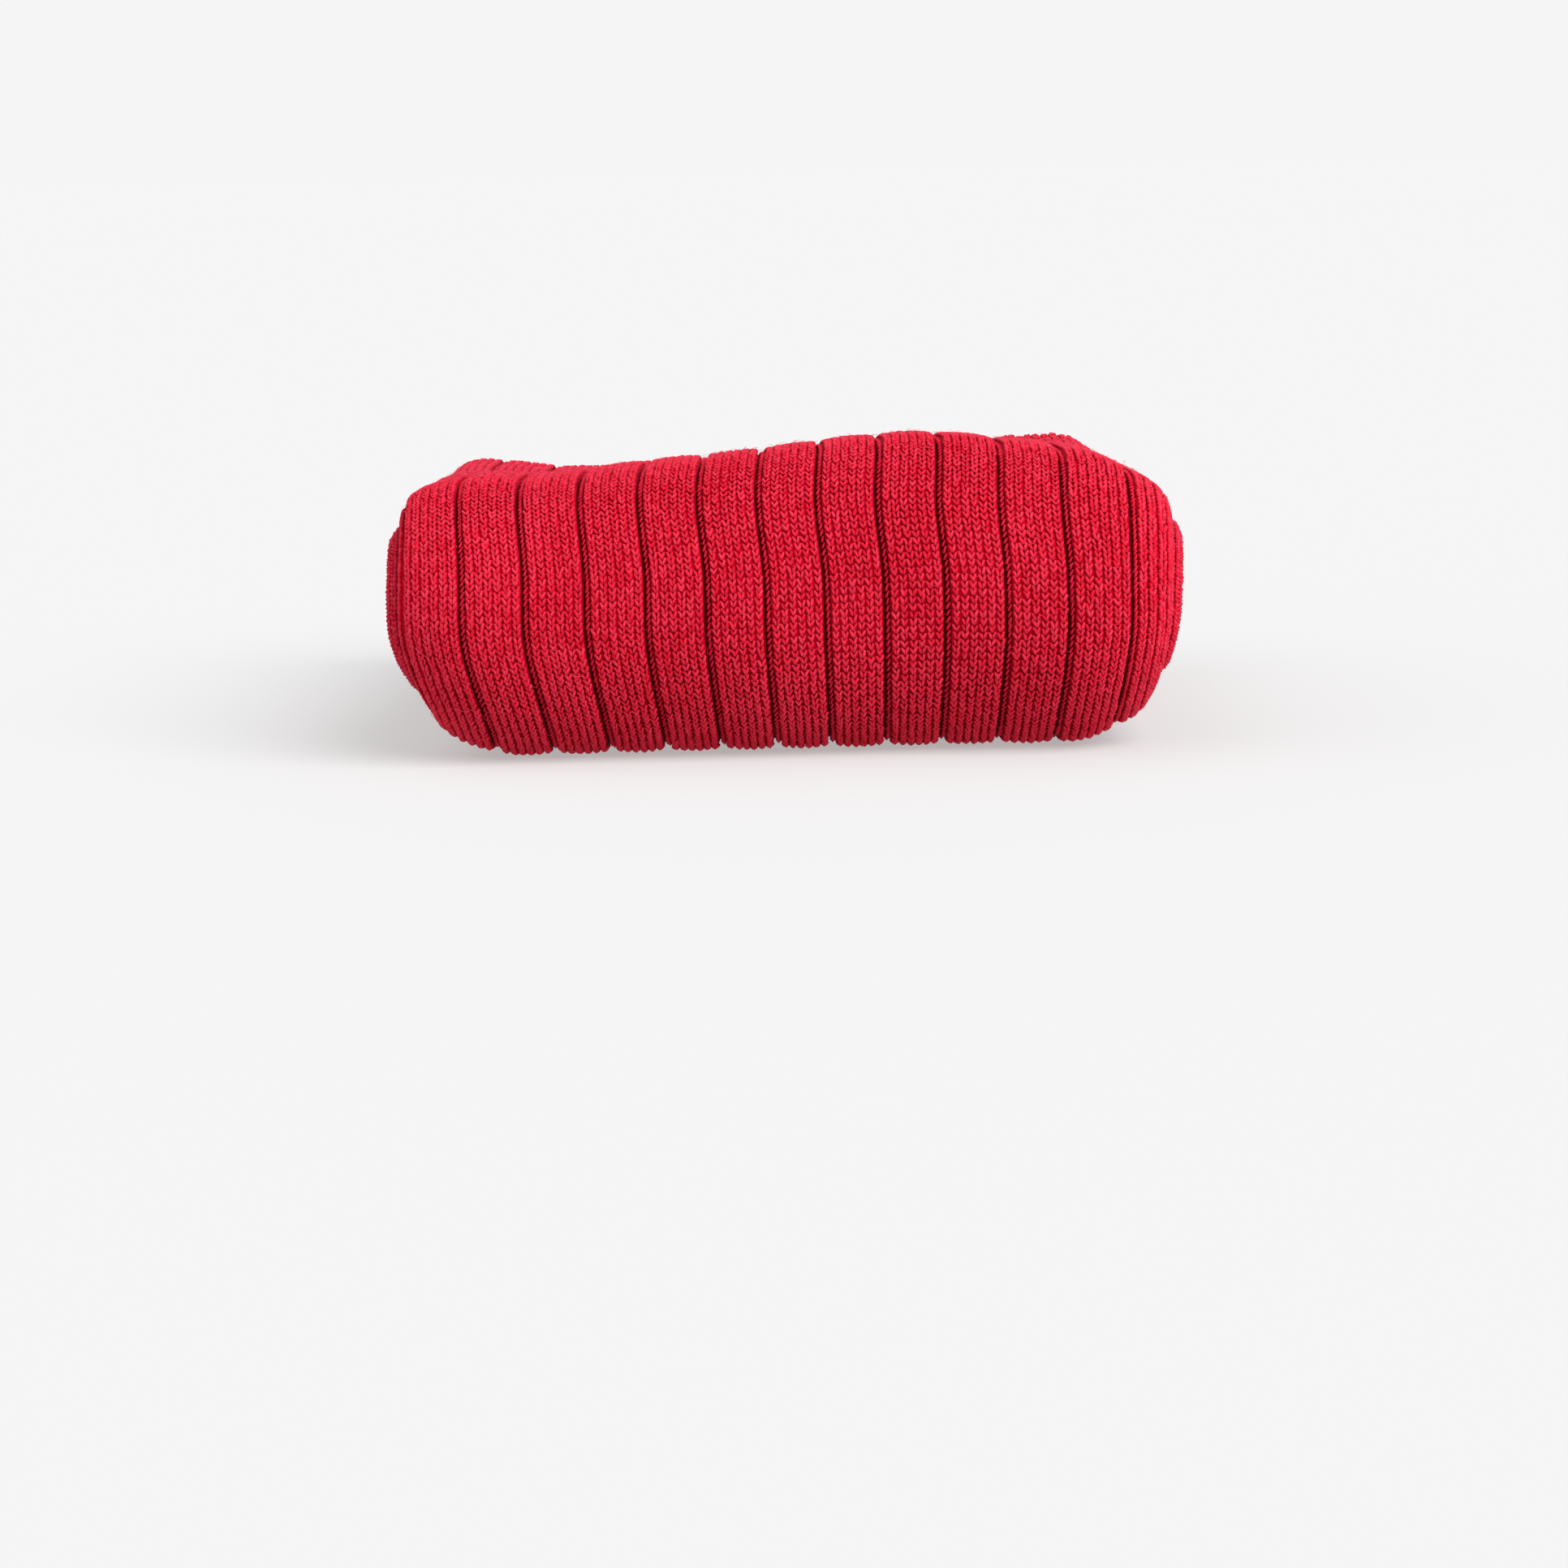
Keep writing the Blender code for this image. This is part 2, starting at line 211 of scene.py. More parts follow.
def read(rows, key, value, at):
    """Values between the rows of a table, on a smooth curve through them."""
    keys = np.array([getattr(row, key) for row in rows])
    values = np.array([getattr(row, value) for row in rows])
    index = np.arange(len(rows))
    before, after = np.maximum(index - 1, 0), np.minimum(index + 1, len(rows) - 1)
    slopes = (values[after] - values[before]) / (keys[after] - keys[before])
    at = np.clip(at, keys[0], keys[-1])
    low = np.clip(np.searchsorted(keys, at, side="right") - 1, 0, len(rows) - 2)
    span = keys[low + 1] - keys[low]
    share = (at - keys[low]) / span
    rise = smooth(share)
    start = span * slopes[low] * share * (1.0 - share) ** 2
    end = span * slopes[low + 1] * share**2 * (1.0 - share)
    return values[low] * (1.0 - rise) + values[low + 1] * rise + start - end


def near_fold(y, length):
    """1 at the big fold, falling to 0 at a distance behind it."""
    return 1.0 - smooth((y - FRONT_TURN_Y) / length)


def level_height(level, y):
    """Height of the middle of a level before the pair settles."""
    height = SOCK_THICKNESS / 2 + (level - 1) * LEVEL_PITCH
    return height + (LOOP_RISE if level > LEVELS / 2 else 0.0) * near_fold(y, LOOP_LENGTH)


def run(level, start_y, end_y):
    """Points of a sock's middle line along one level, as rows of y, z, across_y and across_z."""
    y = np.linspace(start_y, end_y, int(abs(end_y - start_y) / PATH_STEP) + 2)
    rise = level_height(level, y + SLOPE_STEP) - level_height(level, y - SLOPE_STEP)
    slope = rise / (2 * SLOPE_STEP)
    heading = math.copysign(1.0, end_y - start_y) / np.hypot(1.0, slope)
    return np.column_stack((y, level_height(level, y), -heading * slope, heading))


def turn(centre_y, low, high, start, end):
    """Points round a half circle between two levels, from one angle to another in degrees."""
    radius = (level_height(high, centre_y) - level_height(low, centre_y)) / 2
    angle = np.radians(np.linspace(start, end, int(math.pi * radius / PATH_STEP) + 4)[1:-1])
    y_share, z_share = np.cos(angle), np.sin(angle)
    outward = 1.0 if end < start else -1.0
    z = level_height(low, centre_y) + radius * (1.0 + z_share)
    return np.column_stack((centre_y + radius * y_share, z, outward * y_share, outward * z_share))


def distances(path):
    """Distance along a path of each of its points."""
    return np.concatenate(([0.0], np.cumsum(np.hypot(*np.diff(path[:, :2], axis=0).T))))


def folded(cuff_y, level, edges, ribs_end, heel_folds=(), creases=()):
    """A sock folded in four, which starts with its cuff at a level of the lower half."""
    top = LEVELS + 1 - level
    inner_top = LEVELS // 2 + level
    inner_low = LEVELS + 1 - inner_top
    path = np.vstack((
        run(level, cuff_y, FRONT_TURN_Y),
        turn(FRONT_TURN_Y, level, top, 270.0, 90.0),
        run(top, FRONT_TURN_Y, BACK_TURN_Y),
        turn(BACK_TURN_Y, inner_top, top, 90.0, -90.0),
        run(inner_top, BACK_TURN_Y, FRONT_TURN_Y),
        turn(FRONT_TURN_Y, inner_low, inner_top, 90.0, 270.0),
    ))
    remaining = SOCK_LENGTH - distances(path)[-1]
    path = np.vstack((path, run(inner_low, FRONT_TURN_Y, FRONT_TURN_Y + remaining)))
    return Sock(edges, ribs_end, heel_folds, creases, distances(path), *path.T)


def waved(waves, x, y, z):
    """How far the waves move points at x, y and z."""
    return sum(
        wave.size * np.sin(wave.per_x * x + wave.per_y * y + wave.per_z * z + wave.start)
        for wave in waves
    )


def settled(x, y, z):
    """Points of the neatly stacked pair, moved to where the cloth's own weight takes them, in metres."""
    at_front = near_fold(y, CREST_LENGTH)
    stacked = level_height(LEVELS, y) + SOCK_THICKNESS / 2
    height = at_front * read(HEIGHTS, "x", "front", x) + (1.0 - at_front) * read(HEIGHTS, "x", "back", x)
    edge = np.clip((np.abs(x) - EDGE_STARTS) / (EDGE_ENDS - EDGE_STARTS), 0.0, 1.0)
    pinch = 1.0 - (at_front * FRONT_PINCH + (1.0 - at_front) * BACK_PINCH) * edge**2
    z = height * (0.5 + (z / stacked - 0.5) * pinch)
    front = FRONT_TURN_Y + (y - FRONT_TURN_Y) * FRONT_FLATTENING * pinch
    back = BACK_TURN_Y + (y - BACK_TURN_Y) * pinch
    y = np.where(y < FRONT_TURN_Y, front, np.where(y > BACK_TURN_Y, back, y))
    x = x - (x - TUCK_CENTRE) * TUCK_SHARE * smooth((TUCK_HEIGHT - z) / TUCK_HEIGHT)
    x = x - LEAN * smooth((z - LEAN_STARTS) / (LEAN_ENDS - LEAN_STARTS)) * (1.0 - edge)
    side, depth = waved(SIDE_WAVES, x, y, z), waved(DEPTH_WAVES, x, y, z)
    return np.stack((x + side - CENTRE_X, y + depth - CENTRE_Y, z), axis=-1) * MM


def flat_part(sock, along):
    """Left and right end of the flattened tube's flat part, and half its thickness."""
    share = along / SOCK_LENGTH
    into_toe = np.clip(1.0 - (SOCK_LENGTH - along) / TOE_TAPER, 0.0, 1.0)
    width = np.sqrt(1.0 - TOE_BLUNTNESS * into_toe**2)
    thin = TOE_THIN_SHARE + (1.0 - TOE_THIN_SHARE) * smooth((SOCK_LENGTH - along) / TOE_THINS_OVER)
    half = SOCK_THICKNESS * thin / 2
    left = read(sock.edges, "share", "left", share) * width + half
    right = read(sock.edges, "share", "right", share) * width - half
    return left, right, half


def laid(sock, along, around, out):
    """Points of a sock, by distance from its cuff, distance round it from the middle of its outer face, and
    height over its skin."""
    left, right, half = flat_part(sock, along)
    x = np.clip(around, left, right)
    beyond = around - x
    angle = np.clip(beyond / half, -math.pi, math.pi)
    x = x + (half + out) * np.sin(angle) - (beyond - angle * half)
    offset = (half + out) * np.cos(angle)
    y = np.interp(along, sock.along, sock.y) + offset * np.interp(along, sock.along, sock.across_y)
    z = np.interp(along, sock.along, sock.z) + offset * np.interp(along, sock.along, sock.across_z)
    return settled(x, y, z)


def furrow_x(number):
    """Where a furrow lies across the leg; the ribs widen a little towards the edges."""
    return RIB_PHASE + number * RIB_PITCH + number**3 * RIB_SPREAD


def near_heel(along):
    """1 at the heel, falling to 0 before and behind it."""
    return smooth(1.0 - np.abs(along - HEEL_ALONG) / HEEL_SPREAD)


def plain_heel(along, around):
    """1 on the plain cloth of the turned heel, at the right of the back."""
    return near_heel(along) * smooth((around - PLAIN_HEEL_X) / PLAIN_HEEL_OVER)


def rib_share(sock, along, around):
    """1 where the ribs stand out, less below and on the worn top, 0 on the foot and the plain heel."""
    ends = smooth((sock.ribs_end - along) / RIBS_END_OVER) * (np.abs(around) < RIB_REACH)
    underside = 1.0 - (1.0 - UNDERSIDE_RELIEF) * smooth((UNDERSIDE_ENDS - along) / RIBS_END_OVER)
    leftness = smooth((WORN_LEFT_X - around) / WORN_LEFT_OVER)
    worn = 1.0 - (WORN_SHARE + WORN_LEFT_SHARE * leftness) * smooth((along - WORN_ALONG) / WORN_OVER)
    return ends * underside * worn * (1.0 - plain_heel(along, around))


def furrow_profile(past):
    """Height across a furrow: a slit beside the left rib, then the sunk wale beside the right one."""
    return np.interp(past, FURROW_ACROSS, FURROW_HEIGHTS)


def relief(sock, along, around):
    """Height of the cloth's ribs, heel folds and creases over its plain skin."""
    furrows = np.array([furrow_x(number) for number in FURROWS])
    after = np.clip(np.searchsorted(furrows, around), 1, len(furrows) - 1)
    past_left, to_right = around - furrows[after - 1], furrows[after] - around
    across = np.clip((past_left - to_right) / (past_left + to_right), -1.0, 1.0)
    raised = CROWN_RISE * (1.0 - np.abs(across) ** CROWN_FLATNESS)
    height = raised + furrow_profile(past_left) + furrow_profile(-to_right)
    height = height * rib_share(sock, along, around)
    if sock.heel_folds:
        rows, columns = (
            np.sin(around * per_around + along * per_along)
            for per_around, per_along in (PUCKER_ROWS, PUCKER_COLUMNS)
        )
        height = height + PUCKER_RISE * plain_heel(along, around) * (rows * columns)
    for fold in sock.heel_folds:
        across_fold = smooth(1.0 - np.abs(around - fold.x) / fold.half_width)
        height = height + fold.rise * across_fold * near_heel(along)
    for crease in sock.creases:
        sideways = (around - crease.x) / crease.reach_x
        lengthways = (along - crease.along) / crease.reach_along
        height = height + crease.lift * np.exp(-(sideways**2 + lengthways**2))
    return height


def yarn_depth(along):
    """How far the middle of the yarn lies under the skin: deeper where the pair rests on it."""
    return YARN_BELOW_SKIN + RESTS_DEEPER * smooth((RESTS_UNTIL - along) / RESTS_OVER)


def low_share(along):
    """1 on the low part of the big fold, where the wales read as cords."""
    return smooth((LOW_UNTIL - along) / LOW_OVER)


def face_columns(ribbed):
    """Places across the flat part of the cloth: close ones at each furrow of a ribbed leg."""
    if not ribbed:
        return np.linspace(-PLAIN_REACH, PLAIN_REACH, PLAIN_COLUMNS)
    columns = [furrow_x(number) + step for number in FURROWS for step in FURROW_ACROSS + RIB_COLUMNS]
    return np.array([x for x in columns if -FACE_LIMIT < x < FACE_LIMIT])


def ground(sock, stations, columns):
    """The sock's closed wall: its skin, the hollow inside it, the cuff's rim and the closed toe. The columns
    are for its outer face; the inner one, which lies against the other cloth, has fewer."""
    along = np.asarray(stations)[:, None]
    left, right, half = flat_part(sock, along)
    narrowed = np.minimum(1.0, np.minimum(left / -FACE_LIMIT, right / FACE_LIMIT))
    face = columns[None, :] * narrowed
    back = np.linspace(PLAIN_REACH, -PLAIN_REACH, PLAIN_COLUMNS)[None, :] * narrowed
    near = half * np.radians(EDGE_ANGLES)[None, :]
    far = half * (math.pi - np.radians(EDGE_ANGLES))[None, :]
    past_edge = right + math.pi * half + (right - back)
    columns_round = (left - near[:, ::-1], face, right + near, right + far[:, ::-1], past_edge, left - far)
    around = np.hstack(columns_round)
    height = relief(sock, along, around)
    below = yarn_depth(along) + GROUND_BELOW_YARN + PUCKER_ROOM * plain_heel(along, around)
    skin = laid(sock, along, around, height - below)
    inside = along[:, 0] <= SOCK_LENGTH - SOLID_TIP
    mouth = (MOUTH - HOLLOW) / 2 * smooth(1.0 - along / MOUTH_DEPTH)
    hollow = laid(sock, along, around, mouth - WALL)[inside][::HOLLOW_RING_EVERY]

    rings = np.concatenate((hollow[::-1], skin))
    count = around.shape[1]
    ring = np.arange(count)
    corners = np.column_stack((ring, np.roll(ring, -1), np.roll(ring, -1) + count, ring + count))
    faces = np.concatenate([corners + row * count for row in range(len(rings) - 1)])
    closed = [ring[::-1].tolist(), (ring + (len(rings) - 1) * count).tolist()]
    mesh = bpy.data.meshes.new("ground")
    mesh.from_pydata(rings.reshape(-1, 3).tolist(), [], faces.tolist() + closed)
    mesh.shade_smooth()
    # Painted shade: the ground is lighter on the ribs and darker down into the furrows, darker between the
    # wales on the low part of the big fold, and darkest in the hollow inside.
    shown = GROUND_CROWN * smooth(1.0 + height / FURROW_SHADE_DEPTH)
    shown = shown * (1.0 - LOW_GAP_SHADE * low_share(along))
    crown_shade = np.concatenate((np.zeros(hollow.shape[0] * count), shown.ravel()))
    mesh.attributes.new("crown_shade", "FLOAT", "POINT").data.foreach_set("value", crown_shade)
    return mesh


def inked(value):
    """An opaque colour given in 8-bit sRGB, made linear."""
    shares = [part / 255.0 for part in value]
    linear = [share / 12.92 if share < 0.04045 else ((share + 0.055) / 1.055) ** 2.4 for share in shares]
    return (*linear, 1.0)


class Strand:
    """A socket of a node tree. Sums, differences and products of strands add their Math nodes, and node()
    adds any other one."""

    def __init__(self, tree, socket=None):
        self.tree = tree
        self.socket = socket

    def node(self, kind, settings, inputs, output=0):
        made = self.tree.nodes.new(kind)
        for name, value in settings.items():
            setattr(made, name, value)
        for name, value in inputs.items():
            if isinstance(value, Strand):
                self.tree.links.new(value.socket, made.inputs[name])
            else:
                made.inputs[name].default_value = value
        return Strand(self.tree, made.outputs[output])

    def maths(self, operation, first, second=0.0, clamp=False):
        settings = {"operation": operation, "use_clamp": clamp}
        return self.node("ShaderNodeMath", settings, {0: first, 1: second})

    def __add__(self, other):
        return self.maths("ADD", self, other)

    __radd__ = __add__

    def __mul__(self, other):
        return self.maths("MULTIPLY", self, other)

    __rmul__ = __mul__

    def __sub__(self, other):
        return self.maths("SUBTRACT", self, other)

    def __rsub__(self, other):
        return self.maths("SUBTRACT", other, self)

    def blend(self, first, second):
        """A colour between two, by this strand's value."""
        return self.node("ShaderNodeMix", {"data_type": "RGBA"}, {0: self, 6: first, 7: second}, 2)


SHEEN_ROUGHNESS = 0.35
SHEEN_TINT = (1.0, 0.08, 0.17, 1.0)
SPECULAR_LEVEL = 0.12
SPECULAR_TINT = (1.0, 0.30, 0.42, 1.0)
# Shares of the cotton's lightness; the first is painted shade and highlight, by how high a point stands on
# its strand.
CROWN_LIGHTENS = 0.60
TONE_LIGHTENS = 0.40
CLOUD_SCALE = 70.0
CLOUD_LIGHTENS = 0.35
SPECK_SCALE = 2600.0
SPECK_LIGHTENS = 0.60
SPECK_ROUGHENS = 0.12
DEEPENED_BY = 0.47
LIGHT_CURVE = 1.6
BUMP_HEIGHT = 0.2 * MM
PLY_SCALE = 1.1


def cotton(name, deep, light, sheen, roughness, hair_scale, hair_strength, ply_strength=0.0):
    """Dyed cotton, uneven from stitch to stitch, twisted and a little hairy, with painted shade where a
    strand dips and a lighter, pinker painted highlight where it stands high.
    """
    material = bpy.data.materials.new(name)
    material.use_nodes = True
    shader = material.node_tree.nodes["Principled BSDF"]
    shader.inputs["Sheen Weight"].default_value = sheen
    shader.inputs["Sheen Roughness"].default_value = SHEEN_ROUGHNESS
    shader.inputs["Sheen Tint"].default_value = SHEEN_TINT
    shader.inputs["Specular IOR Level"].default_value = SPECULAR_LEVEL
    shader.inputs["Specular Tint"].default_value = SPECULAR_TINT
    thread = Strand(material.node_tree)

    def noise(scale, detail=3.0):
        inputs = {"Vector": place, "Scale": scale, "Detail": detail}
        return thread.node("ShaderNodeTexNoise", {}, inputs, "Fac")

    place = thread.node("ShaderNodeTexCoord", {}, {}, "Object")
    crown_shade = thread.node("ShaderNodeAttribute", {"attribute_name": "crown_shade"}, {}, "Fac")
    tone = thread.node("ShaderNodeAttribute", {"attribute_name": "tone"}, {}, "Fac")
    speckled = noise(SPECK_SCALE, detail=2.0)
    # Painted shade and highlight by how high each point stands on its strand, with each stitch's random tone
    # and the purl bumps' painted shade.
    by_stitch = crown_shade * CROWN_LIGHTENS + tone * TONE_LIGHTENS
    by_place = noise(CLOUD_SCALE) * CLOUD_LIGHTENS + speckled * SPECK_LIGHTENS
    share = thread.maths("SUBTRACT", by_stitch + by_place, DEEPENED_BY, clamp=True)
    colour = thread.maths("POWER", share, LIGHT_CURVE).blend(inked(deep), inked(light))
    thread.tree.links.new(colour.socket, shader.inputs["Base Color"])
    thread.tree.links.new((roughness + SPECK_ROUGHENS * speckled).socket, shader.inputs["Roughness"])
    hair = {"Strength": hair_strength, "Distance": BUMP_HEIGHT, "Height": noise(hair_scale)}
    bump = thread.node("ShaderNodeBump", {}, hair)
    if ply_strength:
        grain = thread.node("ShaderNodeAttribute", {"attribute_name": "grain"}, {}, "Vector")
        across = {"Vector": grain, "Scale": PLY_SCALE}
        ply = thread.node("ShaderNodeTexWave", {"bands_direction": "DIAGONAL"}, across, "Fac")
        twist = {"Strength": ply_strength, "Distance": BUMP_HEIGHT, "Height": ply, "Normal": bump}
        bump = thread.node("ShaderNodeBump", {}, twist)
    thread.tree.links.new(bump.socket, shader.inputs["Normal"])
    return material


def finished(piece, material):
    """What every piece of a sock has in common: its body, its finish and its place in the scene."""
    if piece.name not in bpy.context.scene.collection.objects:
        bpy.context.scene.collection.objects.link(piece)
    piece.data.materials.clear()
    piece.data.materials.append(material)
    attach(piece, BODY)
    return piece


def stations_of(shown_end):
    """Distances from the cuff at which the ground has its rings, closer where it shows and at the toe."""
    shown = np.arange(0.0, shown_end, SHOWN_STEP)
    hidden = np.arange(shown_end, SOCK_LENGTH - TOE_TAPER, HIDDEN_STEP)
    toe = SOCK_LENGTH - TOE_TAPER * (1.0 - np.sin(np.radians(np.linspace(0.0, 90.0, TOE_RINGS))))
    return np.concatenate((shown, hidden, toe))


# The ground between the stitches gets a darker red than the yarn: painted shade in the gaps between the
# stitches.
shaded_ground_cotton = cotton(
    "red cotton between the stitches",
    deep=(92, 0, 12), light=(212, 2, 40), sheen=0.06, roughness=0.85, hair_scale=3000.0, hair_strength=0.5,
)

outer = folded(OUTER_CUFF_Y, 1, OUTER_EDGES, RIBS_END, OUTER_HEEL_FOLDS, OUTER_CREASES)
outer_wall = ground(outer, stations_of(OUTER_SHOWS_UNTIL), face_columns(True))
outer_ground = bpy.data.objects.new("outer_sock_cloth", outer_wall)
finished(outer_ground, shaded_ground_cotton)
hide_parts("outer_sock")


# The inner sock's cloth. It is the same knitted cotton tube, laid inside the outer one's folds, so only its
# two side edges show, with its cuff and its closed toe at the back.
INNER_CUFF_Y = 48.4
INNER_SHOWS_UNTIL = 60.0
INNER_EDGES = (
    Edge(0.00, -47.4, 45.4),
    Edge(0.20, -48.0, 48.9),
    Edge(0.27, -48.5, 49.4),
    Edge(0.42, -47.6, 49.1),
    Edge(0.52, -46.6, 49.8),
    Edge(0.62, -48.0, 47.8),
    Edge(0.76, -47.2, 49.0),
    Edge(1.00, -45.0, 43.6),
)

inner = folded(INNER_CUFF_Y, 2, INNER_EDGES, RIBS_END)
inner_wall = ground(inner, stations_of(INNER_SHOWS_UNTIL), face_columns(False))
inner_ground = bpy.data.objects.new("inner_sock_cloth", inner_wall)
finished(inner_ground, shaded_ground_cotton)
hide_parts("inner_sock")


# The knitting of the outer sock, of soft cotton yarn. Each stitch is a V of two plump legs, six wales of them
# to a rib, with a sunk wale of purl bumps in each furrow. The Vs point to the cuff, and each one overlaps the
# one before it.
COURSE = 0.85
MEASURING_STEP = 0.25
WALES_PER_RIB = 6
USUAL_WALE = 1.08
LEG_WIDTH = 0.50
LEG_LENGTH = 1.14
LEG_THICKNESS = 0.64
LEG_FULLNESS = 0.75
LEG_TILT = 21.5
LEG_PITCH = -0.06
LEG_ASIDE = 0.195
LOW_CLOSER = 0.025
UNEVEN_TILT = 5.0
UNEVEN_PLACE = 0.045
UNEVEN_SIZE = 0.08
UNEVEN_TONE = 0.30
LOW_EVENNESS = 0.5
NUDGE = 0.05
PURL_ASIDE = 0.14
PURL_WIDTH = 0.9
PURL_TILT = 26.0
PURL_SHADE = 0.35
SUNK_ABOVE = 0.28
PAST_EDGE = 1.6
BEFORE_EDGE = 2.4
COURSE_SWAY = 0.35
SWAY_AROUND = 0.09
SWAY_ALONG = 0.05
FRONT_STARTS = 88.0
FRONT_HALVES_MEET = 119.0
FRONT_ENDS = 150.0
MIXED_OVER = 24.0
MIXING = (12.9898, 78.233, 43758.5453)
TOP_ENDS = 205.0
FACE_ENDS = 240.0
TOE_SHOWS = 350.0
CORNER_LENGTH = 34.0
CORNER_X = 20.0
MOUTH_SHOWS = 12.0
OUTER_FACE, EDGES, INNER_FACE = range(3)
FULL = (4, 3)
PLAIN = (3, 3)
SLIGHT = (3, 2)
POINTED_PLUMPER = 1.24
THREE_SIDED_WIDER = 1.155

Zone = namedtuple("Zone", "name start end part detail")
Stitches = namedtuple("Stitches", "place leg normal stretch tone")


def wales():
    """Places of the wales round the leg, their widths, and whether they are the sunk ones."""
    rows = []
    for number in FURROWS[:-1]:
        start = furrow_x(number) + FURROW_ROOM / 2
        width = (furrow_x(number + 1) - FURROW_ROOM / 2 - start) / WALES_PER_RIB
        rows += [(start + (wale + 0.5) * width, width, 0.0) for wale in range(WALES_PER_RIB)]
        rows.append((furrow_x(number + 1), FURROW_ROOM, 1.0))
    return np.array(rows)


def unit(vectors):
    """The vectors, each made 1 long."""
    return vectors / np.linalg.norm(vectors, axis=-1, keepdims=True)


def stitched(sock, along, around, side, width, tilt, chance, deeper=0.0):
    """Places, directions and sizes of yarn legs on a sock's cloth."""
    out = relief(sock, along, around) - yarn_depth(along) - deeper
    here = laid(sock, along, around, out)
    up = laid(sock, along + NUDGE, around, out) - laid(sock, along - NUDGE, around, out)
    aside = laid(sock, along, around + NUDGE, out) - laid(sock, along, around - NUDGE, out)
    outward = laid(sock, along, around, out + NUDGE) - here
    normal = unit(np.cross(up, aside))
    normal *= np.sign(np.sum(normal * outward, axis=-1, keepdims=True))
    angle = np.radians(tilt + chance.normal(0.0, UNEVEN_TILT, len(along)))[:, None] * side[:, None]
    leg = unit(unit(up) * np.cos(angle) + unit(aside) * np.sin(angle) + normal * LEG_PITCH)
    across = width * np.linalg.norm(aside, axis=-1) / (2 * NUDGE * MM)
    stretch = np.stack((across, np.ones(len(along)), np.ones(len(along))), axis=-1)
    stretch *= 1.0 + chance.normal(0.0, UNEVEN_SIZE, (len(along), 1))
    uneven = chance.normal(0.0, UNEVEN_TONE, len(along)) * (1.0 - LOW_EVENNESS * low_share(along))
    return Stitches(here, leg, normal, stretch, np.clip(0.5 + uneven, 0.0, 1.0))


def joined(*groups):
    """Groups of stitches as one."""
    return Stitches(*(np.concatenate(field) for field in zip(*groups)))


def courses_of(sock):
    """Distances from the cuff of a sock's courses, evenly spaced on its settled outer face."""
    middle = np.arange(0.0, SOCK_LENGTH, MEASURING_STEP)
    line = laid(sock, middle, 0.0 * middle, 0.0 * middle)
    steps = np.linalg.norm(np.diff(line, axis=0), axis=1) / MM
    settled_length = np.concatenate(([0.0], np.cumsum(steps)))
    return np.interp(np.arange(COURSE, settled_length[-1], COURSE), settled_length, middle)


def scattered(along, around):
    """A share from 0 to 1 for each place, in no order that an eye could follow."""
    mixed = np.sin(along * MIXING[0] + around * MIXING[1]) * MIXING[2]
    return mixed - np.floor(mixed)


def knitting(sock, zone, chance):
    """The yarn legs of a zone of a sock. All zones share one count of courses, and the finer legs of the
    front and the plainer ones of the top mix where they meet."""
    table = wales()
    table = table[table[:, 2] < 0.5] if zone.part == INNER_FACE else table
    courses = courses_of(sock)
    courses = courses[(courses >= zone.start - MIXED_OVER) & (courses < zone.end + MIXED_OVER)]
    along, wale = np.meshgrid(courses, np.arange(len(table)), indexing="ij")
    along, wale = along.ravel(), wale.ravel()
    around, width, sunk = table[wale].T
    near_top = np.abs(along - FRONT_ENDS) < MIXED_OVER
    counted = along + (scattered(along, around) - 0.5) * MIXED_OVER * near_top
    in_zone = (counted >= zone.start) & (counted < zone.end)
    along = along + COURSE_SWAY * np.sin(around * SWAY_AROUND + along * SWAY_ALONG)
    left, right, half = flat_part(sock, np.clip(along, 0.0, SOCK_LENGTH))
    beyond = np.abs(around - np.clip(around, left, right))
    kept = in_zone & (beyond < math.pi * half + PAST_EDGE) & (along >= 0.0) & (along <= SOCK_LENGTH)
    if zone.part == EDGES:
        kept &= (around < left + BEFORE_EDGE) | (around > right - BEFORE_EDGE)
    if zone.part == INNER_FACE:
        kept &= (beyond == 0.0) & ((np.abs(around) > CORNER_X) | (along < MOUTH_SHOWS))
        around = 2.0 * right - around + math.pi * half
    along, around, width, sunk = along[kept], around[kept], width[kept], sunk[kept]
    sunk = sunk * (rib_share(sock, along, around) > SUNK_ABOVE)

    plain = sunk < 0.5
    along_legs = np.repeat(along[plain], 2)
    width_legs = np.repeat(width[plain], 2)
    side = np.tile((-1.0, 1.0), plain.sum())
    along_legs = along_legs + chance.normal(0.0, UNEVEN_PLACE, len(side))
    aside = width_legs * (LEG_ASIDE - LOW_CLOSER * low_share(along_legs))
    around_legs = np.repeat(around[plain], 2) + side * aside + chance.normal(0.0, UNEVEN_PLACE, len(side))
    legs = stitched(sock, along_legs, around_legs, side, width_legs / USUAL_WALE, LEG_TILT, chance)

    bumps = ~plain
    ones = np.ones(bumps.sum())
    around_bumps = around[bumps] + PURL_ASIDE
    purl = stitched(sock, along[bumps], around_bumps, ones, ones * PURL_WIDTH, PURL_TILT, chance)
    # Painted shade: the purl bumps sunk in the furrows are given a darker colour than the other stitches.
    return joined(legs, purl._replace(tone=purl.tone * PURL_SHADE))


